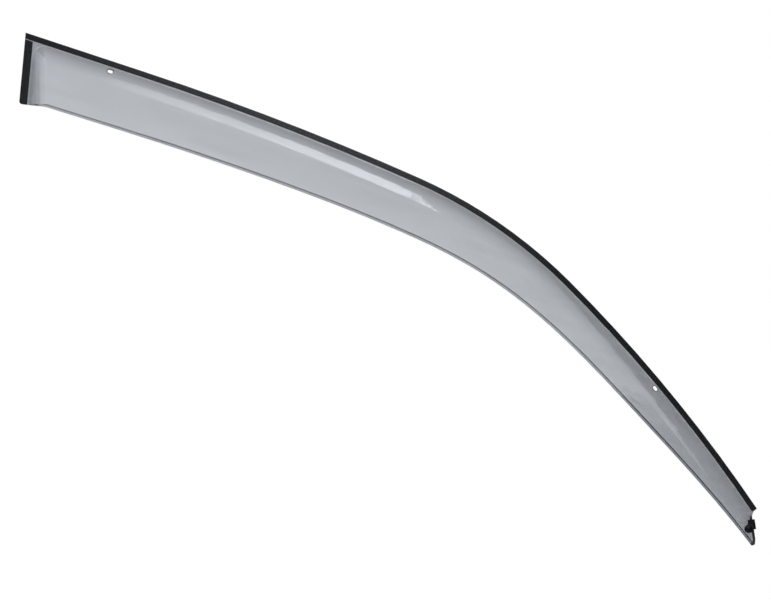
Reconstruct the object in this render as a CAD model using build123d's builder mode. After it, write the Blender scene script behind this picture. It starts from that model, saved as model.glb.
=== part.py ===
from build123d import *
from math import asin, cos, degrees, radians, sin, tan
import os

os.makedirs("parts", exist_ok=True)

# Rain deflector for a car's front side window, in millimetres.
# X runs forward along the car, Y inward to the door and Z up. The origin is on the
# plane of the door frame that the tape sticks to, in the middle of the straight run.

# Sheet, tape and the flanges that the tape is on
wall = 2.5
tape_thickness = 1.0
top_tape_width = 6.8
rear_tape_width = 9.5
tape_gap = 1.0
bare_flange = 1.5

# Top edge, from the rear: a straight run over the door, then three tangent bends
roof_run = 152
crown_radius = 3560
crown_run = 352
shoulder_radius = 600
shoulder_run = 221
pillar_radius = 1870
pillar_run = 354

# Width of the panel, square to the top edge
width_near_rear = 77.5
width_roof_end = 75.9
width_crown_middle = 72.2
width_crown_end = 68.2
width_shoulder_middle = 63.2
width_shoulder_end = 55.9
width_pillar_middle = 47.4
width_pillar_end = 32.9

# Rear end: how far its edge leans forward, the edge's length, and where the lower
# edge has risen from the rear corner to its own line
rear_lean = 13
rear_edge = 86
rear_corner_radius = 3.5
rear_rise_end = 51
rise_radius = 40

# Front end, as steps ahead of and below the top edge's front corner
notch_start = (-2.4, -4.3)
notch = (-3.0, -10.3)
chin = (9.0, -35.4)
tip_front = (10.3, -41.3)
tip = (7.2, -44.2)
notch_radius = 6
chin_radius = 12
tip_radius = 1.2

# Bulge: from the flanges it rises in a steep wall, rolls over and runs on as a face
# that stands further out towards the lower edge
wall_slope = 50
rear_wall_slope = 55
face_slope = 8
wall_rise = 11
roll_radius = 26
rear_roll_radius = 18
foot_radius = 2.0

# Rim of the lower and front edges: the sheet is thicker there, towards the door, and
# the corner between its back and the lower rim is rounded by a fillet that is drawn a
# little outside the sheet's back, so that it runs out in it
rim_width = 2.3
rim_depth = 4.0
rim_fillet = 1.5
rim_run_out = 0.03

# Oval slots in the upper wall, each at a distance along the top edge and a depth below it
slot_length = 6.6
slot_height = 3.7
rear_slot_along = 111.4
rear_slot_depth = 12.8
front_slot_along = 889.5
front_slot_depth = 10.9

# Clip over the front edge, with a lug for the rivet
clip_wall = 1.6
clip_start = 4.3
clip_length = 11.5
clip_leg = 6.4
clip_overhang = 2.6
lug_radius = 5.0

# Rivet: its place past the end of the top edge and below it, and its sizes
rivet_past_end = 14.0
rivet_depth = 21.3
rivet_head_radius = 5.4
rivet_head_height = 2.2
rivet_shank_radius = 2.0
rivet_tail_radius = 3.0
rivet_tail_length = 3.0
rivet_clearance = 0.2

# How far the bulge is drawn beyond the panel's edges before it is trimmed, where the
# sketches that trim it end, and how far behind the door frame's plane they start
section_reach = 105
overrun = 45
spare_depth = 5
far_left, far_right, far_up, far_down = -300, 1500, 300, -900
behind_plane = 2

# How near to its place or direction a face or an edge lies to be chosen by it
tolerance = 0.01

# Sizes that follow from those above
bends = (
    (crown_radius, crown_run),
    (shoulder_radius, shoulder_run),
    (pillar_radius, pillar_run),
)
top_length = roof_run + crown_run + shoulder_run + pillar_run
rear_corner = (-roof_run / 2, top_tape_width / 2)
flange_face = tape_thickness + wall
top_flange = top_tape_width + bare_flange
rear_flange = rear_tape_width + bare_flange
deepest = flange_face + wall_rise + section_reach * tan(radians(face_slope)) + spare_depth
rear_down = Vector(sin(radians(rear_lean)), 0, -cos(radians(rear_lean)))
rear_ahead = Vector(cos(radians(rear_lean)), 0, sin(radians(rear_lean)))


def section_plane(distance):
    """Plane square to the top edge: local x is down the panel, local y is outward."""
    x = rear_corner[0] + min(distance, roof_run)
    z = rear_corner[1]
    pitch = 0.0
    left = distance - roof_run
    for radius, run in bends:
        if left > 0:
            last = (radius, run) == bends[-1]
            turn = (left if last else min(left, run)) / radius
            x += radius * (sin(pitch + turn) - sin(pitch))
            z += radius * (cos(pitch + turn) - cos(pitch))
            pitch += turn
            left -= run
    down = (-sin(pitch), 0, -cos(pitch))
    back = (-cos(pitch), 0, sin(pitch))
    return Plane(origin=(x, 0, z), x_dir=down, z_dir=back)


def across(distance, width):
    """Front-view point (X, Z) at a width below the top edge."""
    place = section_plane(distance).from_local_coords((width, 0, 0))
    return place.X, place.Z


front_corner = across(top_length, 0)


def from_corner(step):
    """Front-view point at a step from the top edge's front corner."""
    return front_corner[0] + step[0], front_corner[1] + step[1]


rear_end = (
    rear_corner[0] + rear_edge * rear_down.X,
    rear_corner[1] + rear_edge * rear_down.Z,
)


def lower_points(raised):
    """Front-view points of a line along the lower edge, raised by some amount above it."""
    up = section_plane(top_length).x_dir * -raised
    last = (from_corner(tip)[0] + up.X, from_corner(tip)[1] + up.Z)
    return (
        across(rear_rise_end, width_near_rear - raised),
        across(roof_run, width_roof_end - raised),
        across(roof_run + crown_run / 2, width_crown_middle - raised),
        across(roof_run + crown_run, width_crown_end - raised),
        across(roof_run + crown_run + shoulder_run / 2, width_shoulder_middle - raised),
        across(roof_run + crown_run + shoulder_run, width_shoulder_end - raised),
        across(top_length - pillar_run / 2, width_pillar_middle - raised),
        across(top_length, width_pillar_end - raised),
        last,
    )


def draw_top(depth):
    """Draws a line parallel to the top edge, at a depth below it, from rear to front."""
    Line(across(0, depth), across(roof_run, depth))
    distance = roof_run
    for radius, run in bends:
        back = section_plane(distance).z_dir
        JernArc(across(distance, depth), (-back.X, -back.Z), radius - depth, -degrees(run / radius))
        distance += run


def draw_front():
    """Draws the front edge, from the tip up to the end of the top edge."""
    Polyline(*(from_corner(step) for step in (tip, tip_front, chin, notch, notch_start)), front_corner)


def round_corner(sketch, place, radius):
    """Rounds the corner of a sketch that is nearest to a front-view point."""
    fillet(sketch.vertices().sort_by_distance(place)[0], radius=radius)


def round_front(sketch):
    """Rounds the corners of the front edge."""
    round_corner(sketch, from_corner(tip_front), tip_radius)
    round_corner(sketch, from_corner(chin), chin_radius)
    round_corner(sketch, from_corner(notch), notch_radius)


# Front outline of the whole panel
with BuildSketch(Plane.XZ) as outline:
    with BuildLine():
        draw_top(0)
        draw_front()
        Spline(*lower_points(0))
        Line(lower_points(0)[0], rear_end)
        Line(rear_end, rear_corner)
    make_face()
    round_front(outline)
    round_corner(outline, from_corner(tip), tip_radius)
    round_corner(outline, lower_points(0)[0], rise_radius)
    round_corner(outline, rear_end, rear_corner_radius)


def above_rim(width):
    """Sketch of what is above the lower edge once that is raised by a rim's width."""
    corner = (rear_end[0], rear_end[1] + width)
    with BuildSketch(Plane.XZ) as region:
        with BuildLine():
            lower = Spline(*lower_points(width))
            ahead = lower @ 1 + (lower % 1) * overrun
            Polyline(
                lower @ 1,
                ahead,
                (far_right, ahead.Y),
                (far_right, far_up),
                (far_left, far_up),
                (far_left, corner[1]),
                corner,
                lower @ 0,
            )
        make_face()
        round_corner(region, lower @ 0, rise_radius)
    return region


def behind_rim(width):
    """Sketch of what is behind the front edge once that is moved back by a rim's width."""
    with BuildSketch(Plane.XZ) as region:
        with BuildLine():
            draw_front()
            Polyline(
                front_corner,
                (front_corner[0], far_up),
                (far_left, far_up),
                (far_left, far_down),
                (from_corner(tip)[0], far_down),
                from_corner(tip),
            )
        make_face()
        round_front(region)
        offset(amount=-width)
    return region


def prism(sketch, nearest, furthest):
    """Front-view sketch extruded outward between two distances from the door frame."""
    with BuildPart() as body:
        with BuildSketch(Plane.XZ.offset(nearest)):
            add(sketch.sketch_local)
        extrude(amount=furthest - nearest)
    return body.part


# Wall and face of the bulge in section: where they would meet without the roll,
# and the direction that meeting point moves as the skin is offset inward
wall_inward = Vector(sin(radians(wall_slope)), -cos(radians(wall_slope)))
face_inward = Vector(sin(radians(face_slope)), -cos(radians(face_slope)))
mitre = (wall_inward + face_inward) / (1 + wall_inward.dot(face_inward))
outer_knee = Vector(top_flange + wall_rise / tan(radians(wall_slope)), flange_face + wall_rise)


def ridge(inset):
    """Solid behind the panel's outer skin, as if that ran on past the rear wall, with the
    skin moved inward by inset."""
    base = min(flange_face - inset, 0) - spare_depth
    knee = outer_knee + mitre * inset
    start = knee.X - (knee.Y - base) / tan(radians(wall_slope))
    far = knee + Vector(1, tan(radians(face_slope))) * (section_reach - knee.X)
    with BuildPart() as body:
        distance = 0
        for radius, run in ((0, roof_run),) + bends:
            station = section_plane(distance)
            with BuildSketch(station):
                with BuildLine():
                    Polyline((start, base), knee, far, (far.X, base), close=True)
                make_face()
            if radius:
                centre = station.from_local_coords((radius, 0, 0))
                beyond = overrun if (radius, run) == bends[-1] else 0
                revolve(axis=Axis(centre, (0, 1, 0)), revolution_arc=degrees((run + beyond) / radius))
            else:
                extrude(amount=-run)
            distance += run
        knee_edges = body.edges().filter_by_position(Axis.Y, -knee.Y - tolerance, -knee.Y + tolerance)
        fillet(knee_edges, radius=roll_radius - inset)
    return body.part


def bulge(inset):
    """Solid behind the panel's outer skin, with the skin moved inward by inset."""
    base = min(flange_face - inset, 0) - spare_depth
    rear_foot = rear_flange + inset / sin(radians(rear_wall_slope))
    rear_start = rear_foot - (flange_face - base) / tan(radians(rear_wall_slope))
    rear_top = rear_foot + (deepest - flange_face) / tan(radians(rear_wall_slope))
    rear_origin = (rear_corner[0], 0, rear_corner[1])
    with BuildPart() as body:
        add(ridge(inset))
        with BuildSketch(Plane(origin=rear_origin, x_dir=rear_ahead, z_dir=rear_down)):
            with BuildLine():
                Polyline(
                    (-overrun, base),
                    (rear_start, base),
                    (rear_top, deepest),
                    (-overrun, deepest),
                    close=True,
                )
            make_face()
        extrude(amount=2 * section_reach, both=True, mode=Mode.SUBTRACT)
        rear_edges = body.faces().sort_by(Axis.X)[0].edges()
        rear_edges = rear_edges.filter_by(lambda edge: edge.center().Y < -base - tolerance)
        rear_edges = rear_edges.filter_by(lambda edge: edge.center().Z > rear_end[1])
        fillet(rear_edges, radius=rear_roll_radius - inset)
    return body.part


# Rivet's seat: a point of the roll, with the rivet square to the skin there
rivet_station = section_plane(top_length + rivet_past_end)
roll_centre = outer_knee + mitre * roll_radius
rivet_tilt = asin((roll_centre.X - rivet_depth) / roll_radius)
rivet_seat = rivet_station.from_local_coords((rivet_depth, roll_centre.Y + roll_radius * cos(rivet_tilt), 0))
rivet_axis = rivet_station.y_dir * cos(rivet_tilt) - rivet_station.x_dir * sin(rivet_tilt)
rivet_plane = Plane(origin=rivet_seat, x_dir=rivet_station.z_dir, z_dir=rivet_axis)
lug_below = wall + clip_wall
rivet_hole_radius = rivet_shank_radius + rivet_clearance

# Hollow behind the sheet, inside the rims
with BuildPart() as hollow:
    add(ridge(wall - rim_run_out))
    add(prism(above_rim(rim_width), -behind_plane, deepest), mode=Mode.INTERSECT)
    sides = hollow.faces().filter_by(lambda face: abs(face.normal_at().Y) < tolerance)
    rim_sides = sides.sort_by(Axis.X)[1:-1]
    corners = rim_sides.edges().filter_by(lambda edge: abs(edge.tangent_at(0.5).Y) < 1 - tolerance)
    corners = corners.filter_by(lambda edge: edge.center().Y < wall - flange_face - tolerance)
    fillet(corners, radius=rim_fillet)
    add(bulge(wall), mode=Mode.INTERSECT)
    add(prism(behind_rim(rim_width), -behind_plane, deepest), mode=Mode.INTERSECT)

# Hollow behind the clip's inner leg, inside the part of it that goes round the rims
with BuildPart() as clip_hollow:
    add(bulge(lug_below))
    add(prism(above_rim(rim_width + clip_wall), -behind_plane, deepest), mode=Mode.INTERSECT)
    add(prism(behind_rim(rim_width + clip_wall), -behind_plane, deepest), mode=Mode.INTERSECT)

# Panel: one moulded sheet
with BuildPart() as visor_panel:
    add(bulge(0))
    with BuildSketch(Plane.XZ.offset(tape_thickness)):
        with BuildLine():
            Polyline(
                (far_left, far_up),
                (far_right, far_up),
                (far_right, far_down),
                (far_left, far_down),
                close=True,
            )
        make_face()
    extrude(amount=wall)
    feet = visor_panel.edges().filter_by_position(Axis.Y, -flange_face - tolerance, -flange_face + tolerance)
    upright = visor_panel.faces().filter_by(lambda face: abs(face.normal_at().Y) < tolerance)
    fillet(feet - upright.edges(), radius=foot_radius)
    add(prism(outline, tape_thickness, deepest), mode=Mode.INTERSECT)
    add(hollow.part, mode=Mode.SUBTRACT)
    add(bulge(wall + rim_depth), mode=Mode.SUBTRACT)
    for along, depth in ((rear_slot_along, rear_slot_depth), (front_slot_along, front_slot_depth)):
        station = section_plane(along)
        slot_centre = station.from_local_coords((depth, 0, 0))
        with BuildSketch(Plane(origin=slot_centre, x_dir=station.z_dir, z_dir=(0, -1, 0))):
            SlotOverall(slot_length, slot_height)
        extrude(amount=deepest, mode=Mode.SUBTRACT)
    with BuildSketch(rivet_plane.offset(-lug_below)):
        Circle(rivet_hole_radius)
    extrude(amount=2 * lug_below, mode=Mode.SUBTRACT)

# Foam tape on the back of the top flange
with BuildPart() as top_tape:
    with BuildSketch(Plane.XZ):
        with BuildLine():
            draw_top(0)
            draw_top(top_tape_width)
            Line(across(0, 0), across(0, top_tape_width))
            Line(across(top_length, 0), across(top_length, top_tape_width))
        make_face()
        add(outline.sketch_local, mode=Mode.INTERSECT)
    extrude(amount=tape_thickness)

# Foam tape on the back of the rear flange, from just below the top tape
rear_tape_start = (top_tape_width + tape_gap) / cos(radians(rear_lean))
rear_tape_across = rear_tape_width / cos(radians(rear_lean))
rear_tape_top = (
    rear_corner[0] + rear_tape_start * rear_down.X,
    rear_corner[1] + rear_tape_start * rear_down.Z,
)
with BuildPart() as rear_tape:
    with BuildSketch(Plane.XZ):
        with BuildLine():
            Polyline(
                rear_tape_top,
                rear_end,
                (rear_end[0] + rear_tape_across, rear_end[1]),
                (rear_tape_top[0] + rear_tape_across, rear_tape_top[1]),
                close=True,
            )
        make_face()
        add(outline.sketch_local, mode=Mode.INTERSECT)
    extrude(amount=tape_thickness)

# Front edge beside the clip, in the front view
edge_down = (Vector(*chin) - Vector(*notch)).normalized()
edge_ahead = Vector(-edge_down.Y, edge_down.X)
clip_corner = Vector(*from_corner(notch)) + edge_down * clip_start

# Clip: a leg on each face of the panel, joined round its front edge, and a flat lug
# under the rivet's head and tail
with BuildPart() as tip_clip:
    with BuildSketch(Plane.XZ.offset(tape_thickness)):
        with BuildLine():
            Polyline(
                clip_corner - edge_ahead * clip_leg,
                clip_corner + edge_ahead * clip_overhang,
                clip_corner + edge_ahead * clip_overhang + edge_down * clip_length,
                clip_corner - edge_ahead * clip_leg + edge_down * clip_length,
                close=True,
            )
        make_face()
    extrude(amount=deepest)
    add(bulge(-clip_wall), mode=Mode.INTERSECT)
    add(bulge(wall + rim_depth + clip_wall), mode=Mode.SUBTRACT)
    add(clip_hollow.part, mode=Mode.SUBTRACT)
    with BuildSketch(rivet_plane.offset(-lug_below)):
        Circle(lug_radius)
    extrude(amount=lug_below + clip_wall)
    with BuildSketch(rivet_plane.offset(-lug_below)):
        Circle(rivet_hole_radius)
    extrude(amount=2 * lug_below, mode=Mode.SUBTRACT)
    with BuildSketch(rivet_plane.offset(-lug_below)):
        Circle(lug_radius)
    extrude(amount=-lug_radius, mode=Mode.SUBTRACT)
    add(visor_panel.part, mode=Mode.SUBTRACT)

# Rivet: domed head, shank and spread tail
dome_radius = (rivet_head_radius**2 + rivet_head_height**2) / (2 * rivet_head_height)
half_dome = asin(rivet_head_radius / dome_radius) / 2
head_top = clip_wall + rivet_head_height
with BuildPart() as tip_rivet:
    with BuildSketch(Plane(origin=rivet_seat, x_dir=rivet_plane.x_dir, z_dir=-rivet_plane.y_dir)):
        with BuildLine():
            ThreePointArc(
                (0, head_top),
                (dome_radius * sin(half_dome), head_top - dome_radius * (1 - cos(half_dome))),
                (rivet_head_radius, clip_wall),
            )
            Polyline(
                (rivet_head_radius, clip_wall),
                (rivet_shank_radius, clip_wall),
                (rivet_shank_radius, -lug_below),
                (rivet_tail_radius, -lug_below),
                (rivet_shank_radius, -lug_below - rivet_tail_length),
                (0, -lug_below - rivet_tail_length),
                (0, head_top),
            )
        make_face()
    revolve(axis=Axis(rivet_seat, rivet_axis))

for name, piece in (
    ("visor_panel", visor_panel),
    ("top_tape", top_tape),
    ("rear_tape", rear_tape),
    ("tip_clip", tip_clip),
    ("tip_rivet", tip_rivet),
):
    piece.part.label = name
    export_step(piece.part, f"parts/{name}.step")
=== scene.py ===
import math

import bpy
from mathutils import Matrix, Vector


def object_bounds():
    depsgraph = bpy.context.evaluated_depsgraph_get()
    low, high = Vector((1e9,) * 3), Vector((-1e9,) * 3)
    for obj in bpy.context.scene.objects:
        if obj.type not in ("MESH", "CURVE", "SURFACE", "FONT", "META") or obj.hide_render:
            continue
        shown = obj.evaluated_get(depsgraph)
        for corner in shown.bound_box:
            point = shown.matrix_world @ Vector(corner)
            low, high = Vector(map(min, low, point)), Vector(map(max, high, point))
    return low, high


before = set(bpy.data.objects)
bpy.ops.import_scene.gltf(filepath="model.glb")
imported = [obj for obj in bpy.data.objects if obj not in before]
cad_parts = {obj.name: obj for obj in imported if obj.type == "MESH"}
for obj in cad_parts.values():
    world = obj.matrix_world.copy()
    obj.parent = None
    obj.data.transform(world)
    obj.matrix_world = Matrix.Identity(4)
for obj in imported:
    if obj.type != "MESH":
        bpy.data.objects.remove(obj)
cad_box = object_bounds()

# The deflector stands in its own frame: X forward along the car, Y inward to the door and
# Z up, in metres. The camera looks along +Y and is rolled, because the photograph shows the
# deflector turned by that angle.

# Camera: the point of the frame in the middle of the picture, and the picture's width there
VIEW_CENTRE = Vector((0.4353, -0.010, -0.1659))
VIEW_WIDTH = 0.9252
VIEW_ROLL = math.radians(18.3)
LENS = 250
SENSOR = 36
VIEW_REACH = 100

# Floor: its depth below the part, its disc, and its glow at two distances from the middle
FLOOR_DROP = 1.25
FLOOR_RADIUS = 26.0
FLOOR_STEPS = 96
FLOOR_GREY = 0.62
FLOOR_GLOW = (0.42, 1.0)
FLOOR_GLOW_AT = (1.0, 11.0)

# Board behind the tape, partly lit by itself so that the tape throws little shadow on it
BOARD_GAP = 0.0006
BOARD_SIZE = 2.6
BOARD_GREY = 0.4
BOARD_GLOW = 0.22

# Card in front of the part: its lowest and highest X and Z, its glow in the middle and at
# some reach from there, and its tint
CARD_CENTRE = 0.2
CARD_DISTANCE = 2.6
CARD_BOX = (-1.0, 1.4, -0.7, 0.4)
CARD_GREY = 0.02
CARD_GLOW = (1.15, 0.3)
CARD_REACH = 0.62
CARD_TINT = (0.94, 0.98, 1.07)

STAGE_ROUGHNESS = 0.9
STAGE_SPECULAR = 0.1
WORLD_LIGHT = 0.12

# Painted shade on the panel, placed by the normal: its narrow faces and the rim's inner
# corner are painted near black. The narrow faces have little Y: they count fully up to the
# first value and not at all from the second. The rim's inner corner has less Y than the flat
# faces, and a Z of the same sign as its Y, so that their product is above nought.
NARROW_FACES = (0.4, 0.54)
CORNER_TURN = (0.95, 0.985)
CORNER_TILT = (0.05, 0.11)

# Share of a normal's X that is taken off its Z, so that the rear wall isn't read as the rim
REAR_WALL_SHARE = 0.2

# The panel's front edge below its clip, in the frame's X and Z: a point on each straight run
# and the direction from there into the sheet. Then the width along it of the dark band of
# painted shade, with where the band's inner side starts and ends to fade, and its top, with
# the fade below that.
FRONT_RUNS = (
    ((0.9466, -0.2991), (-0.902, -0.431)),
    ((0.9479, -0.3050), (-0.977, -0.215)),
    ((0.9448, -0.3079), (-0.683, 0.730)),
)
FRONT_BAND = 0.0034
FRONT_BAND_FADE = (-0.0004, 0.0002)
FRONT_BAND_TOP = -0.274
FRONT_BAND_TOP_FADE = 0.002

# Slots, in the frame's X and Z: a middle and the direction they run in, with half the length
# of the straight sides, the radius of the ends, the width of the dark line of painted shade
# round them, half the width of that line's soft edge and how dark it is
SLOTS = (((0.0354, -0.0094), (1.0, 0.0)), ((0.7761, -0.1651), (0.850, -0.527)))
SLOT_HALF = 0.00145
SLOT_RADIUS = 0.00185
SLOT_RING = 0.0012
SLOT_RING_SOFT = 0.0003
SLOT_RING_SHARE = 0.6

# Smoke-grey acrylic: the sheet's two near-clear tones, the near black of the painted shade
# on its edges, rim corner, front band and slot rings, the added roughness there, and the
# colour and density that give its smoke
CLEAR_TONES = ((0.86, 0.88, 0.90), (0.98, 0.99, 1.0))
PAINTED_SHADE_COLOUR = (0.004, 0.0045, 0.006)
CUT_ROUGHNESS = 0.3
SMOKE_COLOUR = (0.0, 0.07, 0.18)
SMOKE_DENSITY = 125.0
ACRYLIC_IOR = 1.49

FOAM_TONES = ((0.008, 0.008, 0.010), (0.019, 0.019, 0.023))
FOAM_IOR = 1.45

NYLON_TONES = ((0.0015, 0.002, 0.003), (0.005, 0.006, 0.008))
NYLON_IOR = 1.53
NYLON_SPECULAR = 0.08

NOISE_ROUGHNESS = 0.55


def new_material(name):
    """Node material with an empty tree, its output and a Principled shader."""
    material = bpy.data.materials.new(name)
    material.use_nodes = True
    tree = material.node_tree
    tree.nodes.clear()
    output = tree.nodes.new("ShaderNodeOutputMaterial")
    shader = tree.nodes.new("ShaderNodeBsdfPrincipled")
    tree.links.new(shader.outputs["BSDF"], output.inputs["Surface"])
    return material, tree, shader, output


def coordinates(tree, kind):
    """Texture coordinates, such as the part's own frame or its normals."""
    return tree.nodes.new("ShaderNodeTexCoord").outputs[kind]


def components(tree, vector):
    """A vector's X, Y and Z."""
    node = tree.nodes.new("ShaderNodeSeparateXYZ")
    tree.links.new(vector, node.inputs["Vector"])
    return node.outputs["X"], node.outputs["Y"], node.outputs["Z"]


def object_space(tree, stretch=(1, 1, 1)):
    """Coordinates of the part's own frame, in metres, stretched along its axes."""
    mapping = tree.nodes.new("ShaderNodeMapping")
    mapping.inputs["Scale"].default_value = stretch
    tree.links.new(coordinates(tree, "Object"), mapping.inputs["Vector"])
    return mapping.outputs["Vector"]


def noise(tree, vector, scale, detail=3.0):
    node = tree.nodes.new("ShaderNodeTexNoise")
    node.inputs["Scale"].default_value = scale
    node.inputs["Detail"].default_value = detail
    node.inputs["Roughness"].default_value = NOISE_ROUGHNESS
    tree.links.new(vector, node.inputs["Vector"])
    return node.outputs["Fac"]


def cells(tree, vector, scale):
    node = tree.nodes.new("ShaderNodeTexVoronoi")
    node.inputs["Scale"].default_value = scale
    tree.links.new(vector, node.inputs["Vector"])
    return node.outputs["Distance"]


def spread(tree, value, low, high, source=(0.3, 0.7), curve="LINEAR"):
    """Maps a value, such as a noise, onto a range of numbers."""
    node = tree.nodes.new("ShaderNodeMapRange")
    node.interpolation_type = curve
    node.inputs["From Min"].default_value = source[0]
    node.inputs["From Max"].default_value = source[1]
    node.inputs["To Min"].default_value = low
    node.inputs["To Max"].default_value = high
    tree.links.new(value, node.inputs["Value"])
    return node.outputs["Result"]


def rise_in(tree, value, source):
    """Nought below a range of the value and one above it, with a smooth step between."""
    return spread(tree, value, 0.0, 1.0, source, "SMOOTHSTEP")


def drop_in(tree, value, source):
    """One below a range of the value and nought above it, with a smooth step between."""
    return spread(tree, value, 1.0, 0.0, source, "SMOOTHSTEP")


def combine(tree, operation, first, second=0):
    """Maths on two values, each a socket or a number."""
    node = tree.nodes.new("ShaderNodeMath")
    node.operation = operation
    for socket, value in zip(node.inputs, (first, second)):
        if isinstance(value, (int, float)):
            socket.default_value = value
        else:
            tree.links.new(value, socket)
    return node.outputs["Value"]


def add(tree, first, second):
    return combine(tree, "ADD", first, second)


def subtract(tree, first, second):
    return combine(tree, "SUBTRACT", first, second)


def multiply(tree, first, second):
    return combine(tree, "MULTIPLY", first, second)


def larger(tree, first, second):
    return combine(tree, "MAXIMUM", first, second)


def blend_colours(tree, factor, first, second):
    """Goes from a first to a second colour, each a socket or three numbers."""
    node = tree.nodes.new("ShaderNodeMix")
    node.data_type = "RGBA"
    tree.links.new(factor, node.inputs["Factor"])
    for socket, colour in ((node.inputs[6], first), (node.inputs[7], second)):
        if isinstance(colour, tuple):
            socket.default_value = (*colour, 1)
        else:
            tree.links.new(colour, socket)
    return node.outputs[2]


def bump(tree, shader, height, distance, strength=1.0, under=None):
    """Bump from a height value of 0 to 1, as deep as a distance in metres."""
    node = tree.nodes.new("ShaderNodeBump")
    node.inputs["Distance"].default_value = distance
    node.inputs["Strength"].default_value = strength
    tree.links.new(height, node.inputs["Height"])
    if under is not None:
        tree.links.new(under, node.inputs["Normal"])
    tree.links.new(node.outputs["Normal"], shader.inputs["Normal"])
    return node.outputs["Normal"]


def edge_shade_mask(tree):
    """Mask of painted shade: one on the narrow faces that stand square to the door, as round
    the sheet and in its slots, and on the rim's inner corner, and nought elsewhere."""
    x, y, z = components(tree, coordinates(tree, "Normal"))
    facing = combine(tree, "ABSOLUTE", y)
    narrow = drop_in(tree, facing, NARROW_FACES)
    turned = drop_in(tree, facing, CORNER_TURN)
    tilt = multiply(tree, y, subtract(tree, z, multiply(tree, x, REAR_WALL_SHARE)))
    corner = multiply(tree, turned, rise_in(tree, tilt, CORNER_TILT))
    return larger(tree, narrow, corner)


def front_band(tree):
    """Mask of painted shade: one in the narrow band along the front edge that runs from the
    clip to the tip.
    """
    x, _, z = components(tree, object_space(tree))
    depth = None
    for (edge_x, edge_z), (inward_x, inward_z) in FRONT_RUNS:
        across = multiply(tree, subtract(tree, x, edge_x), inward_x)
        down = multiply(tree, subtract(tree, z, edge_z), inward_z)
        run = add(tree, across, down)
        depth = run if depth is None else combine(tree, "MINIMUM", depth, run)
    start, end = FRONT_BAND_FADE
    inside = drop_in(tree, depth, (FRONT_BAND + start, FRONT_BAND + end))
    below = drop_in(tree, z, (FRONT_BAND_TOP - FRONT_BAND_TOP_FADE, FRONT_BAND_TOP))
    return multiply(tree, inside, below)


def slot_rings(tree):
    """Mask of painted shade: one in the narrow lines round the slots."""
    x, _, z = components(tree, object_space(tree))
    outer = SLOT_RADIUS + SLOT_RING
    rings = None
    for (middle_x, middle_z), (run_x, run_z) in SLOTS:
        ahead = subtract(tree, x, middle_x)
        up = subtract(tree, z, middle_z)
        along = add(tree, multiply(tree, ahead, run_x), multiply(tree, up, run_z))
        beside = subtract(tree, multiply(tree, up, run_x), multiply(tree, ahead, run_z))
        past = larger(tree, subtract(tree, combine(tree, "ABSOLUTE", along), SLOT_HALF), 0)
        square = add(tree, multiply(tree, past, past), multiply(tree, beside, beside))
        away = combine(tree, "SQRT", square)
        ring = drop_in(tree, away, (outer - SLOT_RING_SOFT, outer + SLOT_RING_SOFT))
        rings = ring if rings is None else larger(tree, rings, ring)
    return rings


def smoke_acrylic():
    """Moulded smoke-grey acrylic: clear and glossy, with faint flow marks, haze and scuffs,
    and painted shade, near black, on its cut edges and rim corner, in the front band and
    round the slots."""
    material, tree, shader, output = new_material("smoke_acrylic")
    plain = object_space(tree)

    flow = noise(tree, object_space(tree, (1, 8, 8)), scale=9.0, detail=4.0)
    mottle = noise(tree, plain, scale=700.0, detail=2.0)
    tint = add(tree, multiply(tree, flow, 0.7), multiply(tree, mottle, 0.3))
    colour = blend_colours(tree, spread(tree, tint, 0, 1), *CLEAR_TONES)
    # Painted shade: edges, rim corner, front band and slot rings are turned near black
    rings = multiply(tree, slot_rings(tree), SLOT_RING_SHARE)
    painted_shade = larger(tree, larger(tree, edge_shade_mask(tree), front_band(tree)), rings)
    colour = blend_colours(tree, painted_shade, colour, PAINTED_SHADE_COLOUR)
    tree.links.new(colour, shader.inputs["Base Color"])

    haze = spread(tree, noise(tree, plain, scale=30.0, detail=5.0), low=0.05, high=0.11)
    streaks = noise(tree, object_space(tree, (20, 300, 300)), scale=6.0, detail=4.0)
    scuffs = spread(tree, streaks, low=0.0, high=0.05, source=(0.6, 0.8))
    dullness = add(tree, add(tree, haze, scuffs), multiply(tree, painted_shade, CUT_ROUGHNESS))
    tree.links.new(dullness, shader.inputs["Roughness"])

    ripple = noise(tree, plain, scale=160.0, detail=1.0)
    peel = bump(tree, shader, ripple, distance=0.00004)
    dust = noise(tree, plain, scale=1500.0, detail=2.0)
    bump(tree, shader, dust, distance=0.000004, under=peel)

    shader.inputs["IOR"].default_value = ACRYLIC_IOR
    shader.inputs["Transmission Weight"].default_value = 1.0

    smoke = tree.nodes.new("ShaderNodeVolumeAbsorption")
    smoke.inputs["Color"].default_value = (*SMOKE_COLOUR, 1)
    smoke.inputs["Density"].default_value = SMOKE_DENSITY
    tree.links.new(smoke.outputs["Volume"], output.inputs["Volume"])
    return material


def foam_tape():
    """Black closed-cell foam with a thin, slightly shiny adhesive face towards the door."""
    material, tree, shader, _ = new_material("foam_tape")
    plain = object_space(tree)
    foam = cells(tree, plain, scale=1500.0)
    patches = noise(tree, plain, scale=60.0, detail=4.0)
    fill = add(tree, multiply(tree, foam, 0.5), multiply(tree, patches, 0.5))
    colour = blend_colours(tree, spread(tree, fill, 0, 1), *FOAM_TONES)
    tree.links.new(colour, shader.inputs["Base Color"])

    geometry = tree.nodes.new("ShaderNodeNewGeometry")
    _, inward, _ = components(tree, geometry.outputs["Normal"])
    adhesive = combine(tree, "GREATER_THAN", inward, 0.5)
    dull = spread(tree, patches, low=0.72, high=0.92)
    smears = noise(tree, object_space(tree, (20, 1, 60)), scale=12.0)
    shine = spread(tree, smears, low=0.28, high=0.5)
    mix = tree.nodes.new("ShaderNodeMix")
    for socket, value in ((0, adhesive), (2, dull), (3, shine)):
        tree.links.new(value, mix.inputs[socket])
    tree.links.new(mix.outputs[0], shader.inputs["Roughness"])

    bump(tree, shader, foam, distance=0.00015, strength=0.6)
    shader.inputs["IOR"].default_value = FOAM_IOR
    return material


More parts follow.
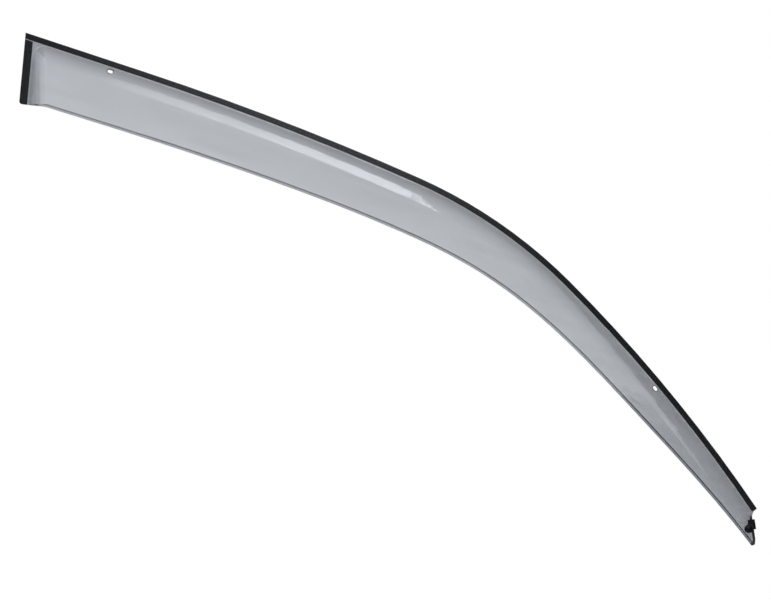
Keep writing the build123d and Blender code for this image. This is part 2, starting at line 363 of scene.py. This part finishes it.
def black_nylon(name, grain, gloss):
    """Moulded black nylon with a spark-eroded grain, faint wear and fine scratches."""
    material, tree, shader, _ = new_material(name)
    plain = object_space(tree)
    worn = noise(tree, plain, scale=180.0, detail=4.0)
    colour = blend_colours(tree, spread(tree, worn, 0, 1), *NYLON_TONES)
    tree.links.new(colour, shader.inputs["Base Color"])
    roughness = spread(tree, worn, low=gloss - 0.08, high=gloss + 0.12)
    tree.links.new(roughness, shader.inputs["Roughness"])

    spark = noise(tree, plain, scale=grain, detail=2.0)
    texture = bump(tree, shader, spark, distance=0.00003, strength=0.8)
    lines = noise(tree, object_space(tree, (300, 40, 300)), scale=8.0)
    scratches = spread(tree, lines, 0, 1, source=(0.62, 0.7))
    bump(tree, shader, scratches, distance=0.00001, strength=0.5, under=texture)
    shader.inputs["IOR"].default_value = NYLON_IOR
    shader.inputs["Specular IOR Level"].default_value = NYLON_SPECULAR
    return material


def dress(node, material):
    """Gives a carried-over node its finished material in every slot."""
    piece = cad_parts[node]
    if not piece.material_slots:
        piece.data.materials.append(material)
    for slot in piece.material_slots:
        slot.material = material


def make_camera():
    data = bpy.data.cameras.new("camera")
    data.lens = LENS
    data.sensor_width = SENSOR
    data.clip_end = VIEW_REACH
    camera = bpy.data.objects.new("camera", data)
    bpy.context.scene.collection.objects.link(camera)
    distance = VIEW_WIDTH / 2 / (SENSOR / 2 / LENS)
    c, s = math.cos(VIEW_ROLL), math.sin(VIEW_ROLL)
    turn = Matrix(((c, -s, 0), (0, 0, -1), (s, c, 0))).to_4x4()
    camera.matrix_world = Matrix.Translation(VIEW_CENTRE - Vector((0, distance, 0))) @ turn
    bpy.context.scene.camera = camera


def stage_material(name, grey, glow_colour=(1, 1, 1)):
    """Plain stage material of one grey. How strongly it glows is left to the caller."""
    material, tree, shader, _ = new_material(name)
    shader.inputs["Base Color"].default_value = (grey, grey, grey, 1)
    shader.inputs["Emission Color"].default_value = (*glow_colour, 1)
    return material, tree, shader


def add_stage_piece(name, corners, material, place):
    """Flat stage piece with one face, round its corners in their order."""
    mesh = bpy.data.meshes.new(name)
    mesh.from_pydata(corners, [], [tuple(range(len(corners)))])
    mesh.materials.append(material)
    piece = bpy.data.objects.new(name, mesh)
    bpy.context.scene.collection.objects.link(piece)
    piece.location = place
    return piece


def add_unseen_sheet(name, x_ends, z_ends, material, place):
    """Upright stage piece, square to Y, that the camera sees only by its light or through
    the panel, and that throws no shadow."""
    (x0, x1), (z0, z1) = x_ends, z_ends
    corners = [(x0, 0, z0), (x1, 0, z0), (x1, 0, z1), (x0, 0, z1)]
    sheet = add_stage_piece(name, corners, material, place)
    sheet.visible_camera = False
    sheet.visible_shadow = False


def make_floor():
    """Pale floor, a good way below, that brightens to white far out."""
    material, tree, shader = stage_material("floor", FLOOR_GREY)
    shader.inputs["Roughness"].default_value = STAGE_ROUGHNESS
    shader.inputs["Specular IOR Level"].default_value = STAGE_SPECULAR
    length = tree.nodes.new("ShaderNodeVectorMath")
    length.operation = "LENGTH"
    tree.links.new(coordinates(tree, "Object"), length.inputs[0])
    glow = spread(tree, length.outputs["Value"], *FLOOR_GLOW, FLOOR_GLOW_AT)
    tree.links.new(glow, shader.inputs["Emission Strength"])

    angles = [math.tau * step / FLOOR_STEPS for step in range(FLOOR_STEPS)]
    corners = [
        (FLOOR_RADIUS * math.cos(angle), FLOOR_RADIUS * math.sin(angle), 0) for angle in angles
    ]
    place = (VIEW_CENTRE.x, 0, cad_box[0].z - FLOOR_DROP)
    add_stage_piece("floor", corners, material, place)


def make_board():
    """Pale board just behind the tape, seen only through the panel and by its light."""
    material, _, shader = stage_material("board", BOARD_GREY)
    shader.inputs["Roughness"].default_value = STAGE_ROUGHNESS
    shader.inputs["Emission Strength"].default_value = BOARD_GLOW
    ends = (-BOARD_SIZE / 2, BOARD_SIZE / 2)
    place = (VIEW_CENTRE.x, BOARD_GAP, VIEW_CENTRE.z)
    add_unseen_sheet("board", ends, ends, material, place)


def make_card():
    """Glowing card between the camera and the part, unseen by the camera, that the flat
    flanges mirror. It fades to both ends."""
    material, tree, shader = stage_material("card", CARD_GREY, CARD_TINT)
    x, _, _ = components(tree, coordinates(tree, "Object"))
    off_centre = combine(tree, "ABSOLUTE", x)
    glow = spread(tree, off_centre, *CARD_GLOW, (0, CARD_REACH), "SMOOTHSTEP")
    tree.links.new(glow, shader.inputs["Emission Strength"])
    place = (CARD_CENTRE, -CARD_DISTANCE, 0)
    add_unseen_sheet("card", CARD_BOX[:2], CARD_BOX[2:], material, place)


def add_softbox(name, place, target, size, radiance, fade=(1.0, 1.0), rise=(1.0, 1.0)):
    """Rectangular light, as bright as a surface of some radiance. A fade is its share of
    that at the start and end of its width, and a rise at its foot and top."""
    data = bpy.data.lights.new(name, "AREA")
    data.shape = "RECTANGLE"
    data.size, data.size_y = size
    data.energy = 4 * radiance * size[0] * size[1]
    light = bpy.data.objects.new(name, data)
    light.location = place
    aim = Vector(target) - Vector(place)
    light.rotation_euler = aim.to_track_quat("-Z", "Y").to_euler()
    light.visible_camera = False
    bpy.context.scene.collection.objects.link(light)
    data.use_nodes = True
    tree = data.node_tree
    geometry = tree.nodes.new("ShaderNodeNewGeometry")
    x, y, _ = components(tree, geometry.outputs["Parametric"])
    glow = multiply(tree, spread(tree, x, *fade, (0, 1)), spread(tree, y, *rise, (0, 1)))
    tree.links.new(glow, tree.nodes["Emission"].inputs["Strength"])


def make_lights():
    """Long highlight on the face, a tent of soft light round it, a side light for the rear
    wall and a light from behind."""
    add_softbox(
        "highlight",
        place=(0.25, -1.085, 0.895),
        target=(0.25, -0.02, -0.02),
        size=(0.6, 1.05),
        radiance=4.7,
        fade=(0.2, 1.0),
    )
    add_softbox(
        "tent",
        place=(0.25, -0.85, 1.05),
        target=(0.25, -0.02, -0.05),
        size=(2.5, 2.6),
        radiance=2.5,
        fade=(1.0, 0.72),
        rise=(1.1, 0.12),
    )
    add_softbox(
        "side",
        place=(-1.49, -0.70, 0.4),
        target=(-0.05, -0.01, -0.03),
        size=(2.3, 1.1),
        radiance=2.3,
        fade=(0.1, 1.0),
    )
    add_softbox(
        "back",
        place=(0.6, 2.2, 1.2),
        target=(0.4, 0, -0.15),
        size=(1.6, 1.0),
        radiance=6.0,
    )


def make_world():
    """White to the camera, as the photograph's cleared background, and dim to the rest."""
    world = bpy.data.worlds.new("world")
    bpy.context.scene.world = world
    world.use_nodes = True
    tree = world.node_tree
    background = tree.nodes["Background"]
    rays = tree.nodes.new("ShaderNodeLightPath")
    strength = spread(tree, rays.outputs["Is Camera Ray"], WORLD_LIGHT, 1.0, (0, 1))
    tree.links.new(strength, background.inputs["Strength"])
    background.inputs["Color"].default_value = (1, 1, 1, 1)


def main():
    dress("visor_panel", smoke_acrylic())
    tape = foam_tape()
    dress("top_tape", tape)
    dress("rear_tape", tape)
    dress("tip_clip", black_nylon("clip_nylon", grain=2200.0, gloss=0.42))
    dress("tip_rivet", black_nylon("rivet_nylon", grain=3200.0, gloss=0.32))
    make_camera()
    make_floor()
    make_board()
    make_card()
    make_lights()
    make_world()
    bpy.context.scene.view_settings.view_transform = "Standard"


main()
